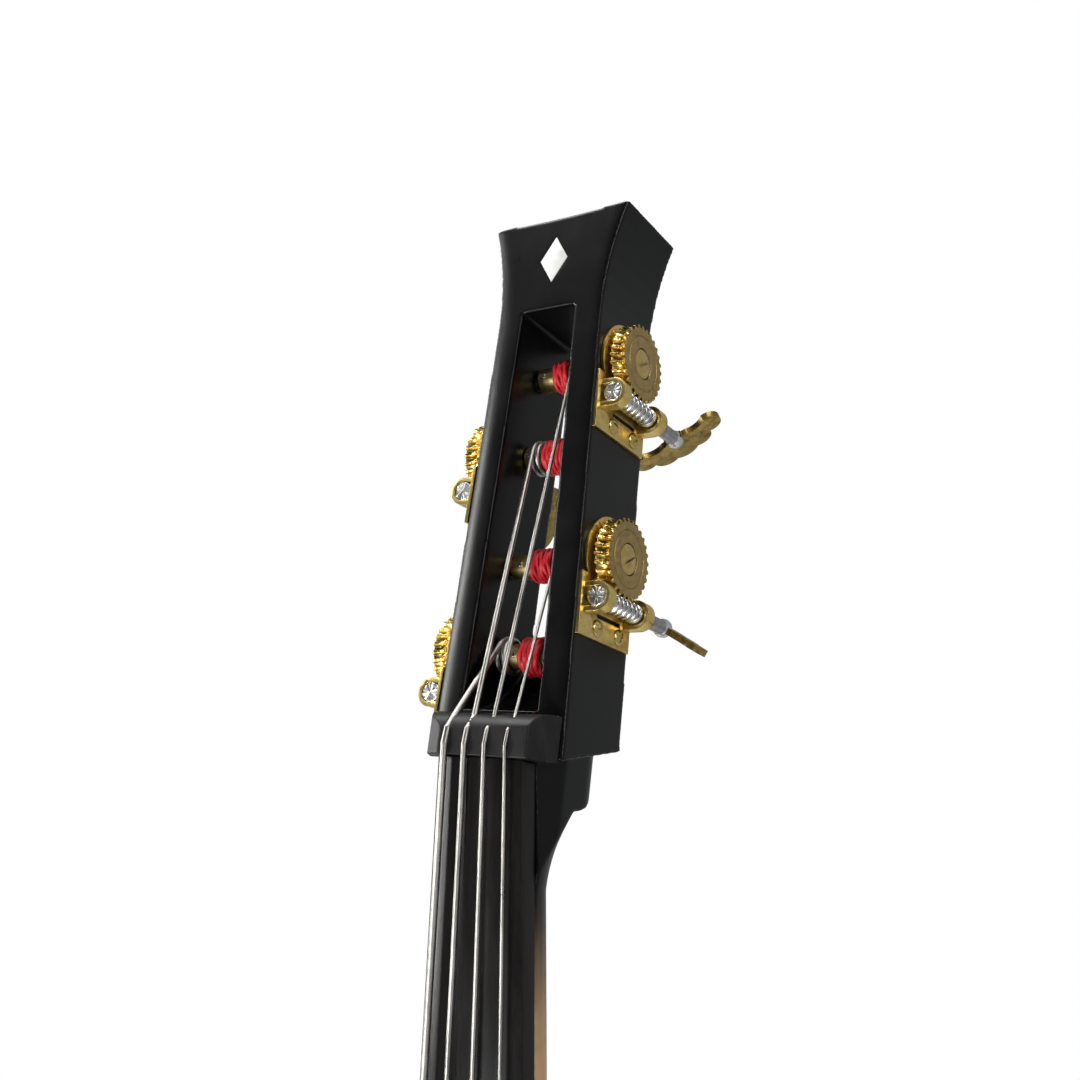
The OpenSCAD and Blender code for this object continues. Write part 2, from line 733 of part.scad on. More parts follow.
module spool(i) color(brass) at_machine(i) rotate([0, 90, 0]) difference() {
  inner = machine_side[i] > 0 ? 0 : 1;
  b = [along(i, barrel_u[i][inner]), along(i, barrel_u[i][1 - inner])];
  union() {
    translate([0, 0, far_end(i)]) cylinder(r = far_radius, h = -far_end(i));
    translate([0, 0, b[1] - eps]) cylinder(r = shaft_radius, h = wheel_in + wheel_thick - 1 - b[1] + eps);
    translate([0, 0, b[0]]) cylinder(r = barrel_radius, h = b[1] - b[0]);
    translate([0, 0, plate_thick + 0.3]) cylinder(r = 6.5, h = wheel_in - plate_thick - 0.3);
  }
  translate([0, 0, wheel_in + wheel_thick - 9]) cylinder(r = 2.2, h = 10);
  // the cross hole for the pin and the hole for the string's end
  translate([0, 0, along(i, pin_u[i])]) rotate([90, 0, 0]) cylinder(r = 1.1, h = 20, center = true);
  translate([0, 0, along(i, hole_u[i])]) rotate([90, 0, 0]) cylinder(r = 1.2, h = 20, center = true);
}

module spool_pin(i) color(steel) at_machine(i) rotate([0, 90, 0]) translate([0, 0, along(i, pin_u[i])])
  rotate([90, 0, 0]) cylinder(r = 1.1, h = 2 * barrel_radius + 1, center = true);

// turns of string: bare ones first, then the wrapped end
module winding(i) {
  s = string_for(i);
  r = string_radius[s];
  w = silk_radius[s];
  from = spool_x[s] + 2 * r + 0.4;
  at_machine(i) rotate([0, 90, 0]) {
    if (bare_turns[s] > 0) for (k = [0 : bare_turns[s] - 1])
      translate([0, 0, along(i, from + 1.9 * r * k)]) turn(r);
    for (k = [0 : silk_turns[s] - 1])
      translate([0, 0, along(i, silk_from[s] + 1.9 * w * k)]) turn(w);
  }
}
module turn(r) rotate_extrude() translate([barrel_radius + r, 0]) circle(r);
function string_for(i) = [2, 1, 3, 0][i];

// radius of the worm at a turn of a from its crest
function worm_r(a) = let(x = abs(a) / 360 * pitch)
  x < 0.28 ? worm_crest : x > 0.95 ? worm_root :
  worm_crest - (worm_crest - worm_root) * (x - 0.28) / 0.67;
worm_turns = 6;

module worm(i) color(steel) at_machine(i) translate([worm_x, 0, -centre_distance]) rotate([-90, 0, 0]) {
  l = worm_turns * pitch;
  // the thread's crest faces the wheel half way along
  rotate(-90) translate([0, 0, -l / 2])
    linear_extrude(l, twist = -360 * worm_turns, slices = 14 * worm_turns, segments = 10)
    polygon([for (a = worm_steps) worm_r(a) * [cos(a + worm_phase), sin(a + worm_phase)]]);
  translate([0, 0, -18]) cylinder(r = worm_crest, h = 18 - l / 2 + eps);
  translate([0, 0, l / 2 - eps]) cylinder(r = worm_crest, h = 14.1 - l / 2);
  difference() {
    union() {
      translate([0, 0, 14]) cylinder(r = 3.2, h = 25);
      translate([0, 0, 39.5]) sphere(4.2);
    }
    key_space(i);
  }
}
worm_phase = 180 * worm_turns;
worm_steps = [-180, -135, -94, -61, -28, 0, 28, 61, 94, 135];

module key_space(i) rotate(key_turn[i]) translate([-6, -1.5, 37.5]) cube([12, 3, 12]);

module key_shape() difference() {
  union() {
    translate([-15, 1]) square([30, 9]);
    for (s = [-1, 1]) {
      translate([s * 17, 4.5]) circle(5.5);
      translate([s * 8.5, 9]) circle(6.5);
    }
    translate([0, 9]) circle(8);
    translate([-4.5, 0]) square([9, 6]);
  }
  for (s = [-1, 1]) translate([s * 10, -6]) circle(8);
}

module key(i) color(brass) at_machine(i) translate([worm_x, 0, -centre_distance]) rotate([-90, 0, 0])
  rotate(key_turn[i]) translate([0, 1.5, 37.5]) rotate([90, 0, 0]) linear_extrude(3) key_shape();

module machine_plate_1() machine_plate(0);
module machine_plate_2() machine_plate(1);
module machine_plate_3() machine_plate(2);
module machine_plate_4() machine_plate(3);
module worm_wheel_1() worm_wheel(0);
module worm_wheel_2() worm_wheel(1);
module worm_wheel_3() worm_wheel(2);
module worm_wheel_4() worm_wheel(3);
module wheel_screw_1() wheel_screw(0);
module wheel_screw_2() wheel_screw(1);
module wheel_screw_3() wheel_screw(2);
module wheel_screw_4() wheel_screw(3);
module spool_1() spool(0);
module spool_2() spool(1);
module spool_3() spool(2);
module spool_4() spool(3);
module spool_pin_1() spool_pin(0);
module spool_pin_2() spool_pin(1);
module spool_pin_3() spool_pin(2);
module spool_pin_4() spool_pin(3);
module winding_1() color([0.75, 0.05, 0.08]) winding(0);
module winding_2() color([0.75, 0.05, 0.08]) winding(1);
module winding_3() color([0.75, 0.05, 0.08]) winding(2);
module winding_4() color([0.75, 0.05, 0.08]) winding(3);
module worm_1() worm(0);
module worm_2() worm(1);
module worm_3() worm(2);
module worm_4() worm(3);
module key_1() key(0);
module key_2() key(1);
module key_3() key(2);
module key_4() key(3);

// ---- endpin -----------------------------------------------------------------------
module endpin_socket() color(ebony) difference() {
  union() {
    translate([0, 0, body_bottom]) cylinder(r = 13, h = 60);
    translate([0, 0, body_bottom - 8]) cylinder(r = 15, h = 8);
    translate([0, 0, body_bottom - 26]) cylinder(r = 18.5, h = 18);
  }
  translate([0, 0, body_bottom - 30]) cylinder(r = rod_radius + running_fit, h = 100);
  translate([0, 0, body_bottom - 17]) rotate([90, 0, 0]) cylinder(r = 3 + running_fit, h = 30);
}

module endpin_rod() color(steel) translate([0, 0, 14]) cylinder(r = rod_radius, h = rod_length);

module endpin_screw() color(black_steel) translate([0, 0, body_bottom - 17]) rotate([90, 0, 0]) {
  translate([0, 0, rod_radius + 0.3]) cylinder(r = 3, h = 22);
  translate([0, 0, rod_radius + 22]) cylinder(r = 4.5, h = 6);
  translate([-9, -1.6, rod_radius + 25]) cube([18, 3.2, 9]);
}

module rubber_foot() color([0.05, 0.05, 0.05]) difference() {
  union() {
    cylinder(r = 9, h = 4);
    translate([0, 0, 4]) cylinder(r1 = 11, r2 = 9, h = 24);
  }
  translate([0, 0, 14]) cylinder(r = rod_radius, h = 20);
}

top_plate();
back_plate();
ribs();
linings();
top_block();
bottom_block();
corner_blocks();
back_braces();
bass_bar();
sound_post();
saddle();
bridge();
tailpiece();
tail_wire();
neck();
fingerboard();
nut();
head_inlay();
machine_plate_1();
machine_plate_2();
machine_plate_3();
machine_plate_4();
plate_screws();
worm_wheel_1();
worm_wheel_2();
worm_wheel_3();
worm_wheel_4();
wheel_screw_1();
wheel_screw_2();
wheel_screw_3();
wheel_screw_4();
spool_1();
spool_2();
spool_3();
spool_4();
spool_pin_1();
spool_pin_2();
spool_pin_3();
spool_pin_4();
winding_1();
winding_2();
winding_3();
winding_4();
worm_1();
worm_2();
worm_3();
worm_4();
key_1();
key_2();
key_3();
key_4();
string_e();
string_a();
string_d();
string_g();
endpin_socket();
endpin_rod();
endpin_screw();
rubber_foot();
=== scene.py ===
"""The double bass's looks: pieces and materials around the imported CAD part, in metres, +Z up, front at -Y."""

import bmesh
import bpy
import json
import math
from mathutils import Matrix, Vector, noise

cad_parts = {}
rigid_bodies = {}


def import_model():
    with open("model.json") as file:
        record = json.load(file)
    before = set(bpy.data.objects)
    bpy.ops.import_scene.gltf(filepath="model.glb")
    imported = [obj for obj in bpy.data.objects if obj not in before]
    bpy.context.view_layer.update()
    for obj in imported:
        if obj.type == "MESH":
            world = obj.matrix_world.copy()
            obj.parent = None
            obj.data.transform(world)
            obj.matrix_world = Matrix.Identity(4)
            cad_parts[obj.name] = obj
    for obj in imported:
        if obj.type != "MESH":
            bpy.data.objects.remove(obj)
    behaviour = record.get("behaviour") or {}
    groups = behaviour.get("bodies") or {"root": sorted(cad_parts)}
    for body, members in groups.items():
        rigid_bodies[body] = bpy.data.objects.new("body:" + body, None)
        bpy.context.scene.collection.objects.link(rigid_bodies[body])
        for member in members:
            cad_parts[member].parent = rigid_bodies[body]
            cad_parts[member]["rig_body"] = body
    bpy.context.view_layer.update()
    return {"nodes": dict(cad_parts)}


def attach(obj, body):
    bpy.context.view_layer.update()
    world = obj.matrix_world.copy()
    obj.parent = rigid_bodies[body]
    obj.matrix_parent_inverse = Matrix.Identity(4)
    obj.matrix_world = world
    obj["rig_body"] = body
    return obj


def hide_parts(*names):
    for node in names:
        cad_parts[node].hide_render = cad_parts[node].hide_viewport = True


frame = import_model()
nodes = frame["nodes"]
scene = bpy.context.scene
MM = 0.001
TAU = 2 * math.pi

# ---- camera, light and floor ---------------------------------------------------
camera = bpy.data.objects.new("camera", bpy.data.cameras.new("camera"))
camera.data.lens = 39.907
camera.data.sensor_width = 36
camera.location = (0.278916, -0.452443, 1.787669)
camera.rotation_euler = [math.radians(a) for a in (89.39646, 3.99415, 33.10323)]
scene.collection.objects.link(camera)
scene.camera = camera
scene.view_settings.view_transform = "Standard"


def lamp(name, at, towards, size, power, colour=(1, 1, 1)):
    light = bpy.data.lights.new(name, "AREA")
    light.shape = "RECTANGLE"
    light.size, light.size_y = size
    light.energy = power
    light.color = colour
    o = bpy.data.objects.new(name, light)
    o.location = at
    o.rotation_euler = (Vector(towards) - Vector(at)).to_track_quat("-Z", "Y").to_euler()
    scene.collection.objects.link(o)


lamp("left", (-2.5, -0.85, 2.3), (0, 0, 1.78), (0.4, 1.8), 48, (1, 0.99, 0.97))
lamp("rim", (-2.6, 0.6, 2.3), (0, 0, 1.75), (0.8, 2.0), 16)
lamp("front", (-0.73, -1.98, 1.16), (0, 0, 1.78), (0.6, 0.6), 32)
lamp("right", (2.1, -1.2, 2.9), (0, 0, 1.75), (0.7, 1.0), 18, (1, 0.98, 0.95))
lamp("top", (-1.0, -0.05, 3.6), (0, 0, 1.75), (0.8, 0.8), 26)
lamp("above", (0.6, -0.4, 3.7), (0, 0, 1.7), (1.0, 0.8), 12)
lamp("low", (0.4, -2.6, 0.7), (0, 0, 0.8), (2.4, 1.0), 16, (0.97, 0.98, 1))

# surroundings: white to the camera, and to the object a dim room, darkest over the viewer's left shoulder
world = bpy.data.worlds.new("studio")
scene.world = world
world.use_nodes = True
wt = world.node_tree
wt.nodes.clear()
w_out = wt.nodes.new("ShaderNodeOutputWorld")
w_mix = wt.nodes.new("ShaderNodeMixShader")
w_path = wt.nodes.new("ShaderNodeLightPath")
w_dim = wt.nodes.new("ShaderNodeBackground")
w_seen = wt.nodes.new("ShaderNodeBackground")
w_dim.inputs["Color"].default_value = (0.96, 0.98, 1, 1)
w_co = wt.nodes.new("ShaderNodeTexCoord")
w_dot = wt.nodes.new("ShaderNodeVectorMath")
w_dot.operation = "DOT_PRODUCT"
w_dot.inputs[1].default_value = Vector((-0.45, -0.8, 0.38)).normalized()
w_range = wt.nodes.new("ShaderNodeMapRange")
w_range.interpolation_type = "SMOOTHSTEP"
for key, value in (("From Min", -0.45), ("From Max", 0.55), ("To Min", 0.36), ("To Max", 0.012)):
    w_range.inputs[key].default_value = value
wt.links.new(w_co.outputs["Generated"], w_dot.inputs[0])
wt.links.new(w_dot.outputs["Value"], w_range.inputs[0])
wt.links.new(w_range.outputs[0], w_dim.inputs["Strength"])
w_seen.inputs["Color"].default_value = (1, 1, 1, 1)
w_seen.inputs["Strength"].default_value = 1.0
wt.links.new(w_path.outputs["Is Camera Ray"], w_mix.inputs[0])
wt.links.new(w_dim.outputs[0], w_mix.inputs[1])
wt.links.new(w_seen.outputs[0], w_mix.inputs[2])
wt.links.new(w_mix.outputs[0], w_out.inputs["Surface"])

# ---- frames, repeated from the CAD ----------------------------------------------
NECK_TILT, HEAD_TILT = math.radians(10.5), math.radians(8.8)
HEAD = (
    Matrix.Translation((0, -0.08083689, 1.70541306))
    @ Matrix.Rotation(-NECK_TILT, 4, "X")
    @ Matrix.Translation((0, 0.01374, 0.01163))
    @ Matrix.Rotation(-HEAD_TILT, 4, "X")
    @ Matrix.Scale(MM, 4)
)
TILT = NECK_TILT + HEAD_TILT
TAPER = math.atan((32.6 - 27.1) / 192)
AXIS_DEPTH = 22
SPOOL_HEIGHT = [156.2, 118, 68.5, 28.7]
SIDE = [1, -1, 1, -1]
CENTRES = 19.6
BARREL = 5.5
WHEEL_IN, WHEEL_THICK = 3.5, 7
WORM_X = WHEEL_IN + WHEEL_THICK / 2
TEETH = 28
PITCH = TAU / TEETH * 16.2
STRING_R = [1.45, 1.15, 0.9, 0.7]
SILK_R = [1.7, 1.45, 1.2, 1.1]
SPOOL_X = [-14.5, -9.5, 6, 8.7]
STRING_OF = [2, 1, 3, 0]
BARE = [1, 1, 0, 0]
SILK_FROM = [-3.4, -4.1, -3.7, -4.2]
SILK_TURNS = [4, 5, 4, 6]


def half_width(t):
    return 32.6 - (t + 17) * math.tan(TAPER)


def machine(k):
    """Frame of machine k in mm: x outwards along the spool's axis, z up the head, origin at the cheek."""
    t = SPOOL_HEIGHT[k]
    return (
        HEAD
        @ Matrix.Diagonal((SIDE[k], 1, 1, 1))
        @ Matrix.Translation((half_width(t), AXIS_DEPTH, t))
        @ Matrix.Rotation(-TAPER, 4, "Y")
    )


def edge(t):
    """Half the head's width at height t, with the flare above the waist."""
    if t < 175:
        return half_width(t)
    rise, spread = 51, 8.7
    flare = (rise * rise + spread * spread) / (2 * spread)
    return 27.1 + flare - math.sqrt(flare * flare - (t - 175) ** 2)


def along(k, u):
    return (SIDE[k] * u - half_width(SPOOL_HEIGHT[k])) / math.cos(TAPER)


# ---- materials --------------------------------------------------------------------
class Paint:
    """A procedural material under construction. Coordinates are the piece's own, turned by tilt about X."""

    def __init__(self, name, tilt=0.0, **sockets):
        self.m = bpy.data.materials.new(name)
        self.m.use_nodes = True
        self.t = self.m.node_tree
        self.shader = self.t.nodes["Principled BSDF"]
        for key, value in sockets.items():
            self.shader.inputs[key.replace("_", " ")].default_value = value
        self.co = self.t.nodes.new("ShaderNodeTexCoord").outputs["Object"]
        self.tilt = tilt

    def node(self, kind, **settings):
        n = self.t.nodes.new("ShaderNode" + kind)
        for key, value in settings.items():
            setattr(n, key, value)
        return n

    def link(self, a, b):
        self.t.links.new(a, b)

    def place(self, stretch=(1, 1, 1), turn=None):
        m = self.node("Mapping")
        m.inputs["Rotation"].default_value = turn or (self.tilt, 0, 0)
        m.inputs["Scale"].default_value = stretch
        self.link(self.co, m.inputs["Vector"])
        return m.outputs[0]

    def noise(self, scale, stretch=(1, 1, 1), detail=4, rough=0.6, warp=0.0):
        n = self.node("TexNoise")
        n.inputs["Scale"].default_value = scale
        n.inputs["Detail"].default_value = detail
        n.inputs["Roughness"].default_value = rough
        n.inputs["Distortion"].default_value = warp
        self.link(self.place(stretch), n.inputs["Vector"])
        return n.outputs["Fac"]

    def cells(self, scale, stretch=(1, 1, 1), feature="F1"):
        n = self.node("TexVoronoi", feature=feature)
        n.inputs["Scale"].default_value = scale
        self.link(self.place(stretch), n.inputs["Vector"])
        return n.outputs["Distance"]

    def waves(self, scale, axis="Z", warp=1.0, stretch=(1, 1, 1), detail=3):
        n = self.node("TexWave", bands_direction=axis)
        n.inputs["Scale"].default_value = scale
        n.inputs["Distortion"].default_value = warp
        n.inputs["Detail"].default_value = detail
        self.link(self.place(stretch), n.inputs["Vector"])
        return n.outputs["Fac"]

    def ramp(self, source, *stops):
        r = self.node("ValToRGB")
        while len(r.color_ramp.elements) < len(stops):
            r.color_ramp.elements.new(0.5)
        for e, (at, colour) in zip(r.color_ramp.elements, stops):
            e.position = at
            e.color = (*colour, 1) if isinstance(colour, tuple) else (colour, colour, colour, 1)
        self.link(source, r.inputs[0])
        return r.outputs[0]

    def mix(self, a, b, by, mode="MIX"):
        m = self.node("MixRGB", blend_type=mode)
        for socket, value in zip((m.inputs[0], m.inputs[1], m.inputs[2]), (by, a, b)):
            if isinstance(value, tuple):
                socket.default_value = (*value, 1)
            elif isinstance(value, (int, float)):
                socket.default_value = value
            else:
                self.link(value, socket)
        return m.outputs[0]

    def maths(self, kind, a, b=0.0):
        m = self.node("Math", operation=kind)
        for socket, value in zip(m.inputs, (a, b)):
            if isinstance(value, (int, float)):
                socket.default_value = value
            else:
                self.link(value, socket)
        return m.outputs[0]

    def painted_gap_shade(self, base, reach):
        """base, with painted shade: darkened by ambient occlusion in corners and gaps narrower than reach
        metres.
        """
        ao = self.node("AmbientOcclusion", samples=6)
        ao.inputs["Distance"].default_value = reach
        return self.mix(base, self.ramp(ao.outputs["AO"], (0.25, 0.1), (0.8, 1.0)), 1.0, "MULTIPLY")

    def colour(self, socket):
        self.link(socket, self.shader.inputs["Base Color"])
        return self

    def rough(self, source, low, high):
        r = self.node("MapRange")
        r.inputs["From Min"].default_value = 0.25
        r.inputs["From Max"].default_value = 0.75
        r.inputs["To Min"].default_value = low
        r.inputs["To Max"].default_value = high
        self.link(source, r.inputs[0])
        self.link(r.outputs[0], self.shader.inputs["Roughness"])
        return self

    def bump(self, *layers):
        """layers are (height source, distance in mm, strength)."""
        normal = None
        for source, distance, strength in layers:
            b = self.node("Bump")
            b.inputs["Distance"].default_value = distance * MM
            b.inputs["Strength"].default_value = strength
            self.link(source, b.inputs["Height"])
            if normal:
                self.link(normal, b.inputs["Normal"])
            normal = b.outputs[0]
        self.link(normal, self.shader.inputs["Normal"])
        return self


def lacquer(name, tilt, low, high, scratches):
    p = Paint(name, tilt, Specular_IOR_Level=0.3)
    cloud = p.noise(9, detail=3)
    fine = p.noise(900, detail=2)
    dust = p.ramp(p.cells(420), (0.0, 1.0), (0.045, 0.0))
    streak = p.noise(260, (1, 1, 0.04), detail=5)
    base = p.ramp(cloud, (0.3, (0.0022, 0.0022, 0.0025)), (0.7, (0.0045, 0.0043, 0.0043)))
    worn = p.maths("MULTIPLY", p.ramp(streak, (0.62, 0.0), (0.8, 1.0)), scratches)
    base = p.mix(base, (0.018, 0.017, 0.016), worn)
    p.colour(p.mix(base, (0.05, 0.048, 0.045), p.maths("MULTIPLY", dust, 0.12)))
    p.rough(p.mix(cloud, streak, 0.35), low, high)
    p.bump((fine, 0.02, 0.35), (p.noise(160, detail=2), 0.03, 0.25), (streak, 0.01, 0.3 * scratches))
    return p.m


def wood(name, dark, mid, light, tilt, low, high, figure=0.0, coat=0.0):
    """Straight-grained timber with pores, and curl across the grain where figure isn't 0."""
    p = Paint(name, tilt, Specular_IOR_Level=0.3, Coat_Weight=coat, Coat_Roughness=0.3)
    grain = p.noise(130, (1, 1, 0.03), detail=8, rough=0.7, warp=0.3)
    bands = p.noise(38, (1, 0.6, 0.05), detail=3)
    pores = p.ramp(p.noise(1500, (1, 1, 0.035), detail=2), (0.63, 0.0), (0.72, 1.0))
    base = p.ramp(p.mix(grain, bands, 0.45), (0.3, dark), (0.5, mid), (0.72, light))
    if figure:
        curl = p.noise(26, (0.25, 0.4, 2.2), detail=2)
        base = p.mix(base, dark, p.maths("MULTIPLY", p.ramp(curl, (0.45, 0.0), (0.65, 1.0)), figure))
    p.colour(p.mix(base, dark, p.maths("MULTIPLY", pores, 0.55)))
    p.rough(p.mix(grain, pores, 0.3), low, high)
    p.bump((grain, 0.04, 0.3), (pores, -0.05, 0.4))
    return p.m


def metal(name, dark, light, low, high, tilt=0.0, stretch=(1, 1, 1), grain=500, patina=None, amount=0.0,
          bump=0.3):
    """Worked metal: brush marks run where stretch is small; tarnish in patches, small dents and scratches;
    painted shade in its corners and gaps.
    """
    p = Paint(name, tilt, Metallic=1.0)
    brush = p.noise(grain, stretch, detail=6, rough=0.7)
    cloud = p.noise(55, detail=5, warp=0.4)
    spots = p.noise(310, detail=3)
    base = p.ramp(p.mix(brush, cloud, 0.5), (0.3, dark), (0.68, light))
    if patina:
        p_mask = p.maths("MULTIPLY", p.ramp(p.mix(cloud, spots, 0.45), (0.46, 0.0), (0.62, 1.0)), amount)
        base = p.mix(base, patina, p_mask)
    # painted shade: the metal's colour darkened by ambient occlusion in its corners and gaps
    p.colour(p.painted_gap_shade(base, 0.0016))
    p.rough(p.mix(p.mix(brush, cloud, 0.5), spots, 0.3), low, high)
    p.bump((brush, 0.015, bump), (spots, 0.03, bump * 0.6), (cloud, 0.1, bump * 0.4))
    return p.m


black_body = lacquer("satin_black", 0, 0.3, 0.4, 0.12)
ebony = wood("ebony", (0.003, 0.0026, 0.0026), (0.006, 0.0053, 0.005), (0.016, 0.014, 0.013), NECK_TILT,
             0.3, 0.5)
ebony_worn = wood("ebony_bare", (0.003, 0.0028, 0.0028), (0.007, 0.0065, 0.0065), (0.026, 0.024, 0.023), TILT,
                  0.4, 0.6)
spruce = wood("spruce", (0.36, 0.2, 0.08), (0.56, 0.37, 0.18), (0.7, 0.51, 0.29), 0, 0.5, 0.7)
maple = wood("maple", (0.42, 0.24, 0.09), (0.62, 0.42, 0.2), (0.74, 0.55, 0.31), 0, 0.42, 0.6, figure=0.35)
brass_bright = metal("brass_bright", (0.56, 0.4, 0.12), (0.9, 0.69, 0.27), 0.18, 0.36, TILT, grain=420,
                     patina=(0.32, 0.21, 0.06), amount=0.4)
brass_teeth = metal("brass_cut", (0.7, 0.5, 0.13), (1.0, 0.78, 0.3), 0.22, 0.36, TILT, grain=420,
                    patina=(0.2, 0.13, 0.035), amount=0.5, bump=0.1)
brass_plate = metal("brass_plate", (0.76, 0.54, 0.15), (1.0, 0.79, 0.31), 0.22, 0.4, TILT, (1, 0.05, 1), 900,
                    patina=(0.36, 0.24, 0.07), amount=0.4)
brass_face = metal("brass_brushed", (0.36, 0.25, 0.09), (0.66, 0.48, 0.2), 0.36, 0.52, TILT,
                   (1, 0.08, 1), 1100, patina=(0.22, 0.145, 0.05), amount=0.5)
brass_key = metal("brass_old", (0.3, 0.2, 0.05), (0.72, 0.52, 0.17), 0.22, 0.52, TILT, grain=230,
                  patina=(0.13, 0.085, 0.022), amount=0.85, bump=0.5)
brass_spool = metal("brass_turned", (0.6, 0.44, 0.16), (0.95, 0.76, 0.36), 0.3, 0.46, TILT,
                    (1, 0.03, 0.03), 700, patina=(0.24, 0.155, 0.05), amount=0.5)
steel_bright = metal("steel_turned", (0.52, 0.52, 0.53), (0.86, 0.86, 0.87), 0.14, 0.32, TILT,
                     (1, 0.04, 1), 800, patina=(0.3, 0.3, 0.31), amount=0.3)
steel_grey = metal("steel_grey", (0.3, 0.3, 0.31), (0.55, 0.55, 0.56), 0.34, 0.5, TILT, (1, 1, 1), 500,
                   patina=(0.22, 0.22, 0.23), amount=0.4)
steel_worm = metal("steel_worm", (0.6, 0.6, 0.6), (0.86, 0.86, 0.86), 0.2, 0.3, TILT, (1, 0.04, 1), 800,
                   bump=0.06)
steel_disc = metal("steel_faced", (0.5, 0.5, 0.5), (0.88, 0.88, 0.87), 0.24, 0.4, TILT, (1, 1, 1), 1500,
                   bump=0.25)
solder = metal("solder", (0.6, 0.6, 0.61), (0.92, 0.92, 0.93), 0.22, 0.4, TILT, (1, 1, 1), 420, bump=0.7)
steel_black = metal("steel_black", (0.02, 0.02, 0.022), (0.05, 0.05, 0.052), 0.35, 0.5, 0, (1, 1, 1), 600)


def string_material():
    """Flat-wound ribbon: fine close turns across the string with painted shade in the grooves between them,
    slightly tarnished.
    """
    p = Paint("flat_wound", NECK_TILT, Metallic=1.0)
    turns = p.waves(620, "Z", 0.0, detail=0)
    cloud = p.noise(120, (1, 1, 0.3), detail=4)
    base = p.ramp(cloud, (0.3, (0.34, 0.33, 0.31)), (0.7, (0.66, 0.64, 0.6)))
    # painted shade: the colour is darkened in the grooves between the turns
    p.colour(p.mix(base, (0.2, 0.19, 0.18), p.maths("MULTIPLY", p.ramp(turns, (0.0, 1.0), (0.25, 0.0)), 0.6)))
    p.rough(cloud, 0.26, 0.42)
    p.bump((turns, 0.05, 0.6))
    return p.m


def silk_material():
    """Twisted silk: fine threads, deep red; colour lighter where the threads stand up, a painted highlight, and
    darker between them and in the gaps between turns, painted shade.
    """
    p = Paint("red_silk", TILT, Sheen_Weight=0.12, Sheen_Roughness=0.4, Specular_IOR_Level=0.5)
    p.shader.inputs["Sheen Tint"].default_value = (1, 0.35, 0.35, 1)
    threads = p.noise(2600, detail=3)
    cloud = p.noise(320, detail=3)
    # colour follows the thread relief: painted highlight on the raised threads, painted shade in the dips
    base = p.ramp(p.mix(threads, cloud, 0.4), (0.3, (0.3, 0.003, 0.01)), (0.5, (0.72, 0.01, 0.025)),
                  (0.72, (0.95, 0.09, 0.09)))
    # painted shade in the gaps between the silk's turns, from ambient occlusion
    p.colour(p.painted_gap_shade(base, 0.0014)).rough(threads, 0.36, 0.6)
    p.bump((threads, 0.08, 0.7))
    return p.m


def rubber_material():
    p = Paint("rubber", 0, Specular_IOR_Level=0.35)
    grit = p.noise(700, detail=4)
    cloud = p.noise(60, detail=3)
    p.colour(p.ramp(p.mix(grit, cloud, 0.5), (0.3, (0.012, 0.012, 0.012)), (0.7, (0.035, 0.034, 0.033))))
    p.rough(grit, 0.6, 0.85)
    p.bump((grit, 0.08, 0.5))
    return p.m


def inlay_material():
    p = Paint("white_inlay", TILT, Specular_IOR_Level=0.5)
    cloud = p.noise(140, detail=4)
    fine = p.noise(900, detail=2)
    p.colour(p.ramp(cloud, (0.3, (0.62, 0.62, 0.6)), (0.7, (0.82, 0.82, 0.8))))
    p.rough(fine, 0.25, 0.4)
    p.bump((fine, 0.02, 0.3))
    return p.m


# heights of the fades on the neck: (from, to, share of bare wood at from, at to)
FADE_TOP = (1.565, 1.655, 1.0, 0.0)
FADE_LOW = (1.36, 1.42, 0.0, 1.0)


def neck_material():
    """Black lacquer that fades into oiled maple down the neck's back, and back to black at the heel."""
    p = Paint("neck_black_to_maple", NECK_TILT, Specular_IOR_Level=0.26)
    grain = p.noise(130, (1, 1, 0.03), detail=8, rough=0.7, warp=0.3)
    cloud = p.noise(40, detail=4)
    curl = p.noise(30, (0.25, 0.4, 2.0), detail=2)
    maple_colour = p.ramp(p.mix(grain, curl, 0.4), (0.3, (0.4, 0.22, 0.09)), (0.5, (0.6, 0.38, 0.18)),
                          (0.72, (0.72, 0.51, 0.28)))
    black = p.ramp(cloud, (0.3, (0.0016, 0.0017, 0.0019)), (0.7, (0.0034, 0.0033, 0.0033)))
    split = p.node("SeparateXYZ")
    p.link(p.co, split.inputs[0])
    z = p.maths("ADD", split.outputs["Z"], p.maths("MULTIPLY", p.maths("SUBTRACT", cloud, 0.5), 0.02))
    top = p.node("MapRange", interpolation_type="SMOOTHERSTEP")
    for key, value in zip(("From Min", "From Max", "To Min", "To Max"), FADE_TOP):
        top.inputs[key].default_value = value
    p.link(z, top.inputs[0])
    low = p.node("MapRange", interpolation_type="SMOOTHERSTEP")
    for key, value in zip(("From Min", "From Max", "To Min", "To Max"), FADE_LOW):
        low.inputs[key].default_value = value
    p.link(z, low.inputs[0])
    bare = p.maths("MULTIPLY", top.outputs[0], low.outputs[0])
    p.colour(p.mix(black, maple_colour, bare))
    p.rough(p.mix(grain, cloud, 0.5), 0.24, 0.36)
    p.bump((p.noise(900, detail=2), 0.012, 0.3), (p.noise(150, detail=2), 0.02, 0.2))
    return p.m


string_metal = string_material()
silk = silk_material()
rubber = rubber_material()
inlay = inlay_material()
neck_paint = neck_material()


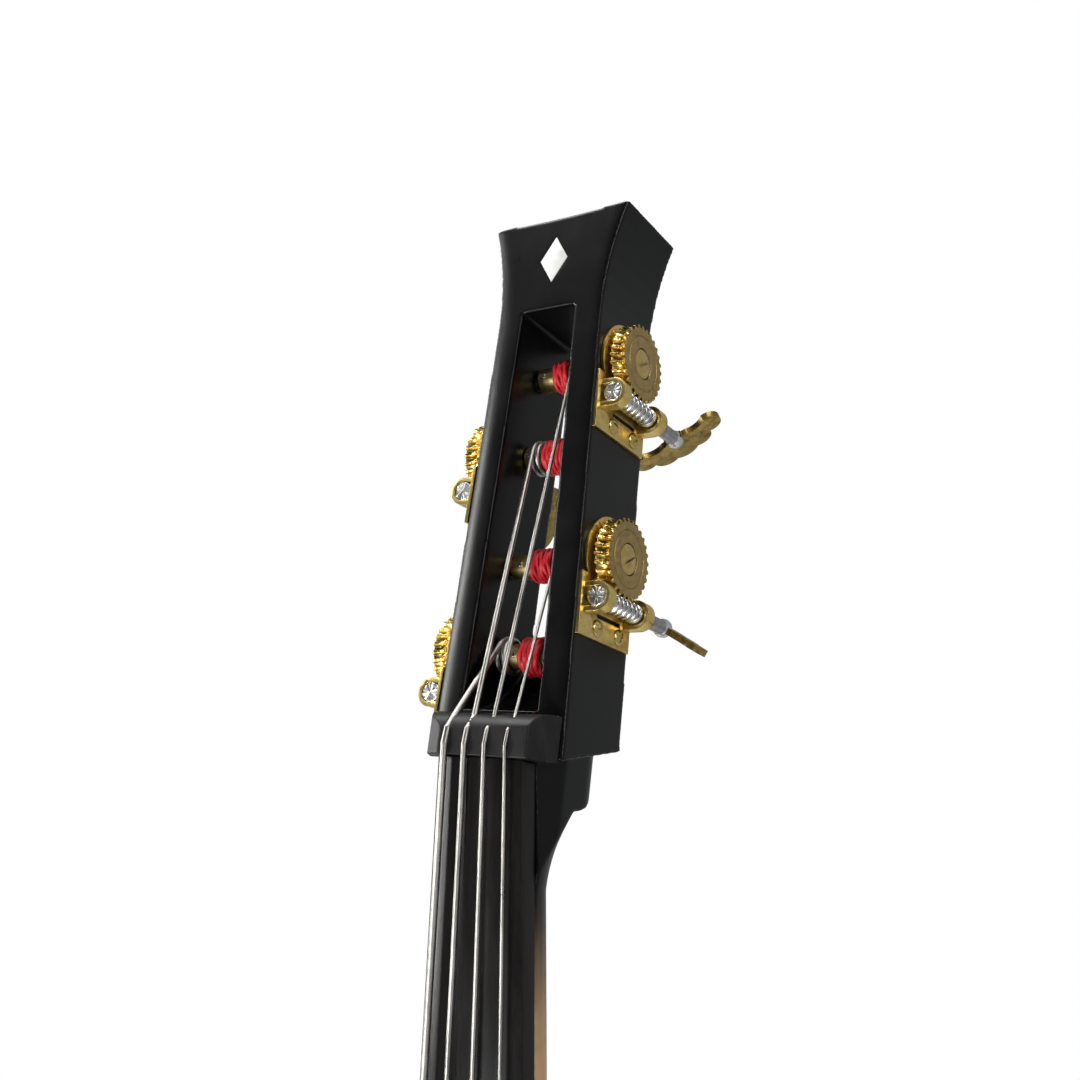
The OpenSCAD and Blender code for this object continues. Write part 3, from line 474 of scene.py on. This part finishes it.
# ---- mesh helpers -------------------------------------------------------------------
def finish_mesh(name, bm, material, body, sharp=35, replace=()):
    """Turns a bmesh into a piece: smooth faces, sharp edges over an angle, its materials and its body."""
    for f in bm.faces:
        f.smooth = True
    for e in bm.edges:
        e.smooth = len(e.link_faces) != 2 or e.calc_face_angle(0) < math.radians(sharp)
    mesh = bpy.data.meshes.new(name)
    bm.to_mesh(mesh)
    bm.free()
    o = bpy.data.objects.new(name, mesh)
    scene.collection.objects.link(o)
    for m in material if isinstance(material, (list, tuple)) else [material]:
        mesh.materials.append(m)
    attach(o, body)
    if replace:
        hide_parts(*replace)
    return o


def put(bm, matrix):
    bmesh.ops.transform(bm, matrix=matrix, verts=bm.verts)
    if matrix.determinant() < 0:
        bmesh.ops.reverse_faces(bm, faces=bm.faces)


def lathe_grid(bm, rows, material=0):
    """Faces between rows of points, each row a closed ring."""
    rings = [[bm.verts.new(p) for p in row] for row in rows]
    for a, b in zip(rings, rings[1:]):
        n = len(a)
        for i in range(n):
            j = (i + 1) % n
            f = bm.faces.new((a[i], a[j], b[j], b[i]))
            f.material_index = material
    return rings


def rounded(node, material, width, angle=40, segments=3):
    """The CAD node's shape with its edges eased by width mm, standing for the node."""
    source = nodes[node]
    bm = bmesh.new()
    bm.from_mesh(source.data)
    bmesh.ops.remove_doubles(bm, verts=bm.verts, dist=2e-6)
    bmesh.ops.dissolve_degenerate(bm, dist=1e-6, edges=bm.edges)
    bmesh.ops.dissolve_limit(bm, angle_limit=math.radians(0.4), verts=bm.verts, edges=bm.edges)
    o = finish_mesh(node + "_shape", bm, material, source["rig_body"], 180, replace=(node,))
    m = o.modifiers.new("eased", "BEVEL")
    m.width = width * MM
    m.segments = segments
    m.limit_method = "ANGLE"
    m.angle_limit = math.radians(angle)
    m.harden_normals = True
    m.use_clamp_overlap = True
    m.miter_outer = "MITER_ARC"
    return o


def softened(node, material, voxel, passes, keep=0.4):
    """The CAD node's shape as one sanded skin, its arrises rounded by smoothing, standing for the node."""
    source = nodes[node]
    bm = bmesh.new()
    bm.from_mesh(source.data)
    bmesh.ops.remove_doubles(bm, verts=bm.verts, dist=2e-6)
    o = finish_mesh(node + "_shape", bm, material, source["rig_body"], 180, replace=(node,))
    skin = o.modifiers.new("skin", "REMESH")
    skin.mode = "VOXEL"
    skin.voxel_size = voxel * MM
    skin.use_smooth_shade = True
    sand = o.modifiers.new("sand", "SMOOTH")
    sand.factor = 0.5
    sand.iterations = passes
    thin = o.modifiers.new("thin", "DECIMATE")
    thin.ratio = keep
    mesh = bpy.data.meshes.new_from_object(o.evaluated_get(bpy.context.evaluated_depsgraph_get()))
    o.modifiers.clear()
    o.data = mesh
    for f in mesh.polygons:
        f.use_smooth = True
    return o


def dress(node, material):
    """A CAD node that stays, with its finished material."""
    mesh = nodes[node].data
    mesh.materials.clear()
    mesh.materials.append(material)


def tube(bm, path, radius, sides, material, shape):
    """A closed tube along path. shape(angle, index) scales its radius."""
    rows = []
    across = None
    for i, p in enumerate(path):
        d = (path[min(i + 1, len(path) - 1)] - path[max(i - 1, 0)]).normalized()
        if across is None:
            across = d.orthogonal().normalized()
        across = (across - d * across.dot(d)).normalized()
        up = d.cross(across)
        row = []
        for j in range(sides):
            a = TAU * j / sides
            r = radius * shape(a, i)
            row.append(p + across * r * math.cos(a) + up * r * math.sin(a))
        rows.append(row)
    rings = lathe_grid(bm, rows, material=material)
    bm.faces.new(reversed(rings[0]))
    bm.faces.new(rings[-1])


# ---- worm wheels ----------------------------------------------------------------------
def smoothstep(x):
    x = min(max(x, 0), 1)
    return x * x * (3 - 2 * x)


def wheel(k):
    """A throated worm wheel: hourglass teeth with rounded flanks, a turned ring and a sunk seat."""
    per = 18
    count = TEETH * per
    rows = []

    def ring(x, radius):
        row = []
        for i in range(count):
            a = TAU * i / count
            phase = (i / per) % 1
            r = radius(phase, x) if callable(radius) else radius
            slant = (x - WORM_X) * math.tan(math.radians(9)) / 16.2 if callable(radius) else 0
            row.append((x, r * math.sin(a + slant), -r * math.cos(a + slant)))
        rows.append(row)

    def tooth(inset):
        def radius(phase, x):
            off = abs(x - WORM_X)
            crest = min(17.3, CENTRES - math.sqrt(max(3.3**2 - off * off, 0)))
            root = CENTRES - math.sqrt(5.3**2 - min(off, 3.5) ** 2)
            rise = smoothstep((0.35 - abs(phase - 0.5)) / 0.24)
            return root + (crest - root) * rise - inset * rise
        return radius

    x0, x1 = WHEEL_IN, WHEEL_IN + WHEEL_THICK
    ring(x0, 4.0)
    ring(x0, 13.0)
    ring(x0, tooth(0.5))
    for i in range(13):
        t = i / 12
        edge = max(0, 0.25 - min(t, 1 - t) * 3)
        ring(x0 + 0.2 + (WHEEL_THICK - 0.4) * t, tooth(edge))
    ring(x1, tooth(0.5))
    face = len(rows)
    for x, r in ((x1, 13.9), (x1, 12.55), (x1 - 0.12, 12.4), (x1 - 0.3, 12.3), (x1 - 0.3, 12.0),
                 (x1 - 0.12, 11.9), (x1, 11.75), (x1, 7.1), (x1 - 0.12, 6.9), (x1 - 1, 6.8), (x1 - 1, 2.3)):
        ring(x, r)
    bm = bmesh.new()
    lathe_grid(bm, rows)
    for i, f in enumerate(bm.faces):
        f.material_index = 1 if i // count >= face - 1 else 0
    put(bm, machine(k))
    bmesh.ops.recalc_face_normals(bm, faces=bm.faces)
    return finish_mesh(f"wheel_{k + 1}", bm, [brass_teeth, brass_face], f"spool_unit_{k + 1}", 55,
                       (f"worm_wheel_{k + 1}",))


# ---- worms ------------------------------------------------------------------------------
def worm(k):
    """The steel worm: turned thread between plain collars, grey shaft and a round tip."""
    crest, root = 4.3, 2.55
    half = 3 * PITCH
    sides = 48

    def at(y, r, a):
        return (WORM_X + r * math.sin(a), y, -CENTRES + r * math.cos(a))

    def lift(d):
        d = abs((d + 0.5) % 1 - 0.5) * PITCH
        return root + (crest - root) * smoothstep((1.25 - d) / 0.85)

    steps = 20 * 6
    rows = []
    for r in (0.25, 1.6, 3.2, 3.8):
        # the faced end, with fine marks that run out from its centre
        marks = [0.26 * noise.noise(Vector((j * 1.7, r * 0.1, k))) * min(r, 2.2) for j in range(sides)]
        rows.append([at(-17.95 + marks[j], r, TAU * j / sides) for j in range(sides)])
    for y, r in ((-17.9, 4.05), (-17.6, crest), (-half - 0.35, crest), (-half - 0.15, crest - 0.1)):
        rows.append([at(y, r, TAU * j / sides) for j in range(sides)])
    for i in range(steps + 1):
        row = []
        for j in range(sides):
            a = TAU * j / sides
            y = -half + 2 * half * i / steps
            wound = y / PITCH - a / TAU
            ends = smoothstep(min(y + half, half - y) / (0.5 * PITCH))
            r = root + (lift(wound) - root) * ends
            row.append(at(y, r, a))
        rows.append(row)
    for y, r in ((half + 0.15, crest - 0.1), (half + 0.35, crest), (13.9, crest), (14.1, 4.1)):
        rows.append([at(y, r, TAU * j / sides) for j in range(sides)])
    shaft = len(rows)
    for y, r in ((14.1, 3.25), (14.3, 3.2), (26, 3.2), (26.15, 3.1), (26.5, 3.1), (26.65, 3.2), (36, 3.2),
                 (36.4, 3.5)):
        rows.append([at(y, r, TAU * j / sides) for j in range(sides)])
    for i in range(9):
        b = math.radians(-48 + 132 * i / 8)
        rows.append([at(39.5 + 4.2 * math.sin(b), 4.2 * math.cos(b), TAU * j / sides) for j in range(sides)])
    bm = bmesh.new()
    rings = lathe_grid(bm, rows)
    for i, f in enumerate(bm.faces):
        # faced end, thread and collars, grey shaft, soldered tip
        row = i // sides
        f.material_index = 2 if row < 4 else 3 if row >= shaft + 7 else 1 if row >= shaft - 1 else 0
    bm.faces.new(reversed(rings[0])).material_index = 2
    bm.faces.new(rings[-1]).material_index = 3
    bmesh.ops.recalc_face_normals(bm, faces=bm.faces)
    put(bm, machine(k))
    steels = [steel_worm, steel_grey, steel_disc, solder]
    return finish_mesh(f"worm_shape_{k + 1}", bm, steels, f"worm_unit_{k + 1}", 75,
                       (f"worm_{k + 1}",))


# ---- windings -----------------------------------------------------------------------------
def winding(k):
    """Twisted silk wound in a close helix on the barrel, after plain turns on the two lowest strings."""
    s = STRING_OF[k]
    r, w = STRING_R[s], SILK_R[s]
    start = SPOOL_X[s] + 2 * r + 0.4
    bm = bmesh.new()

    def coil(u0, u1, radius, turns, material, strands):
        steps = int(56 * turns)
        path = []
        for i in range(steps + 1):
            t = i / steps
            a = TAU * turns * t + 2.0
            tuck = 0.35 * radius * (smoothstep(1 - t * 9) + smoothstep(1 - (1 - t) * 9))
            big = BARREL + radius * 0.96 - tuck
            wander = 0.06 * radius * noise.noise(Vector((t * 9, k, 0)))
            path.append(Vector((along(k, u0 + (u1 - u0) * t + wander), big * math.sin(a), -big * math.cos(a))))

        def shape(a, i):
            end = min(i, steps - i) / 14
            lobes = 1 + (0.55 * (abs(math.cos(strands * (a / 2) + i * 0.24)) - 0.72) if strands else 0)
            return lobes * (0.45 + 0.55 * smoothstep(end))

        tube(bm, path, radius * (0.93 if strands else 0.98), 24, material, shape)

    for n in range(BARE[s]):
        coil(start + 1.9 * r * n - 0.3 * r, start + 1.9 * r * n + 0.3 * r, r, 1.15, 1, 0)
    first = SILK_FROM[s]
    coil(first, first + 1.9 * w * (SILK_TURNS[s] - 1), w, SILK_TURNS[s], 0, 2)
    # the plain turn that the string runs on to
    ring = []
    big = BARREL + r + 0.3
    for i in range(64):
        a = TAU * i / 64
        c = Vector((along(k, SPOOL_X[s]), big * math.sin(a), -big * math.cos(a)))
        out = Vector((0, math.sin(a), -math.cos(a)))
        around = [TAU * j / 16 for j in range(16)]
        ring.append([c + (Vector((1, 0, 0)) * math.cos(b) + out * math.sin(b)) * r for b in around])
    lathe_grid(bm, ring + [ring[0]], material=1)
    bmesh.ops.remove_doubles(bm, verts=bm.verts, dist=1e-5)
    bmesh.ops.recalc_face_normals(bm, faces=bm.faces)
    put(bm, machine(k))
    return finish_mesh(f"silk_{k + 1}", bm, [silk, string_metal], f"spool_unit_{k + 1}", 60,
                       (f"winding_{k + 1}",))


for k in range(4):
    wheel(k)
    worm(k)
    winding(k)
    rounded(f"machine_plate_{k + 1}", brass_plate, 0.35, 30, 3)
    rounded(f"key_{k + 1}", brass_key, 0.85, 30, 4)
    rounded(f"wheel_screw_{k + 1}", brass_bright, 0.16, 30, 2)
    rounded(f"spool_{k + 1}", brass_spool, 0.25, 30, 3)
    rounded(f"spool_pin_{k + 1}", steel_bright, 0.15, 30, 2)
rounded("plate_screws", brass_bright, 0.12, 30, 2)

# ---- head, neck and nut ---------------------------------------------------------------------
neck = softened("neck", neck_paint, 0.75, 6)
to_head = HEAD.inverted()
for vert in neck.data.vertices:
    # the face is sanded down towards its long edges, more on the left
    q = to_head @ vert.co
    if q.z > -17 and q.y < 8:
        reach, depth = (9.5, 1.9) if q.x < 0 else (5, 0.5)
        sunk = max(0, 1 - max(0, edge(min(q.z, 226)) - abs(q.x)) / reach)
        q.y += depth * sunk * sunk * (1 - max(q.y, 0) / 8)
        vert.co = HEAD @ q
softened("nut", ebony_worn, 0.3, 5, 0.6)
rounded("fingerboard", ebony, 0.8, 38, 3)

# the bead of glue squeezed out along the joint between nut and head
glue = Paint("glue", TILT, Specular_IOR_Level=0.6)
specks = glue.ramp(glue.noise(620, detail=3), (0.55, 0.0), (0.62, 1.0))
glue.colour(glue.mix((0.012, 0.011, 0.011), (0.62, 0.61, 0.58), specks))
glue.rough(glue.noise(300), 0.08, 0.3).bump((glue.noise(700, detail=2), 0.1, 0.6))
bm = bmesh.new()
bead = []
for i in range(117):
    x = -29 + 58 * i / 116
    sway = noise.noise(Vector((x * 0.4, 0, 0)))
    bead.append(Vector((x, -0.1 + 0.1 * sway, 0.05 + 0.12 * noise.noise(Vector((x * 0.3, 5, 0))))))
tube(bm, bead, 0.38, 10, 0, lambda a, i: 0.75 + 0.5 * noise.noise(Vector((i * 0.25, 2, 0))))
put(bm, HEAD)
finish_mesh("glue_line", bm, glue.m, "instrument", 80)
bm = bmesh.new()
corners = [(0, -11), (7, 0), (0, 11), (-7, 0)]
layers = ((0.3, 1), (-0.06, 1), (-0.14, 0.975))
lathe_grid(bm, [[(x * g, y, 203 + z * g) for x, z in corners] for y, g in layers])
bm.faces.new([v for v in bm.verts][-4:])
bmesh.ops.recalc_face_normals(bm, faces=bm.faces)
put(bm, HEAD)
finish_mesh("inlay_lozenge", bm, inlay, "instrument", 30, ("head_inlay",))

# ---- body -------------------------------------------------------------------------------------
rounded("top_plate", black_body, 1.6, 50, 3)
rounded("back_plate", black_body, 1.6, 50, 3)
dress("ribs", black_body)
for n in ("linings", "top_block", "bottom_block", "corner_blocks", "back_braces", "bass_bar", "sound_post"):
    dress(n, spruce)
rounded("saddle", ebony, 1.2, 40, 3)
rounded("bridge", maple, 0.8, 40, 3)
rounded("tailpiece", ebony, 1.2, 40, 3)
dress("tail_wire", steel_bright)
rounded("endpin_socket", ebony, 1.0, 40, 3)
dress("endpin_rod", steel_bright)
rounded("endpin_screw", steel_black, 0.4, 40, 2)
rounded("rubber_foot", rubber, 0.8, 40, 3)
for n in ("string_e", "string_a", "string_d", "string_g"):
    dress(n, string_metal)

# ---- floor ----------------------------------------------------------------------------------------
bm = bmesh.new()
turns = [TAU * i / 96 for i in range(96)]
rings = lathe_grid(bm, [[(r * math.cos(a), r * math.sin(a), 0) for a in turns] for r in (0.02, 1.5, 3.0)])
bm.faces.new(rings[0])
bmesh.ops.recalc_face_normals(bm, faces=bm.faces)
floor_paint = Paint("floor", 0, Specular_IOR_Level=0.2)
floor_cloud = floor_paint.noise(3, detail=3)
floor_paint.colour(floor_paint.ramp(floor_cloud, (0.3, (0.8, 0.8, 0.8)), (0.7, (0.84, 0.84, 0.84))))
floor_paint.rough(floor_cloud, 0.7, 0.8)
floor_mesh = bpy.data.meshes.new("floor")
bm.to_mesh(floor_mesh)
bm.free()
floor_mesh.materials.append(floor_paint.m)
floor = bpy.data.objects.new("floor", floor_mesh)
floor.location.z = -0.0005
scene.collection.objects.link(floor)
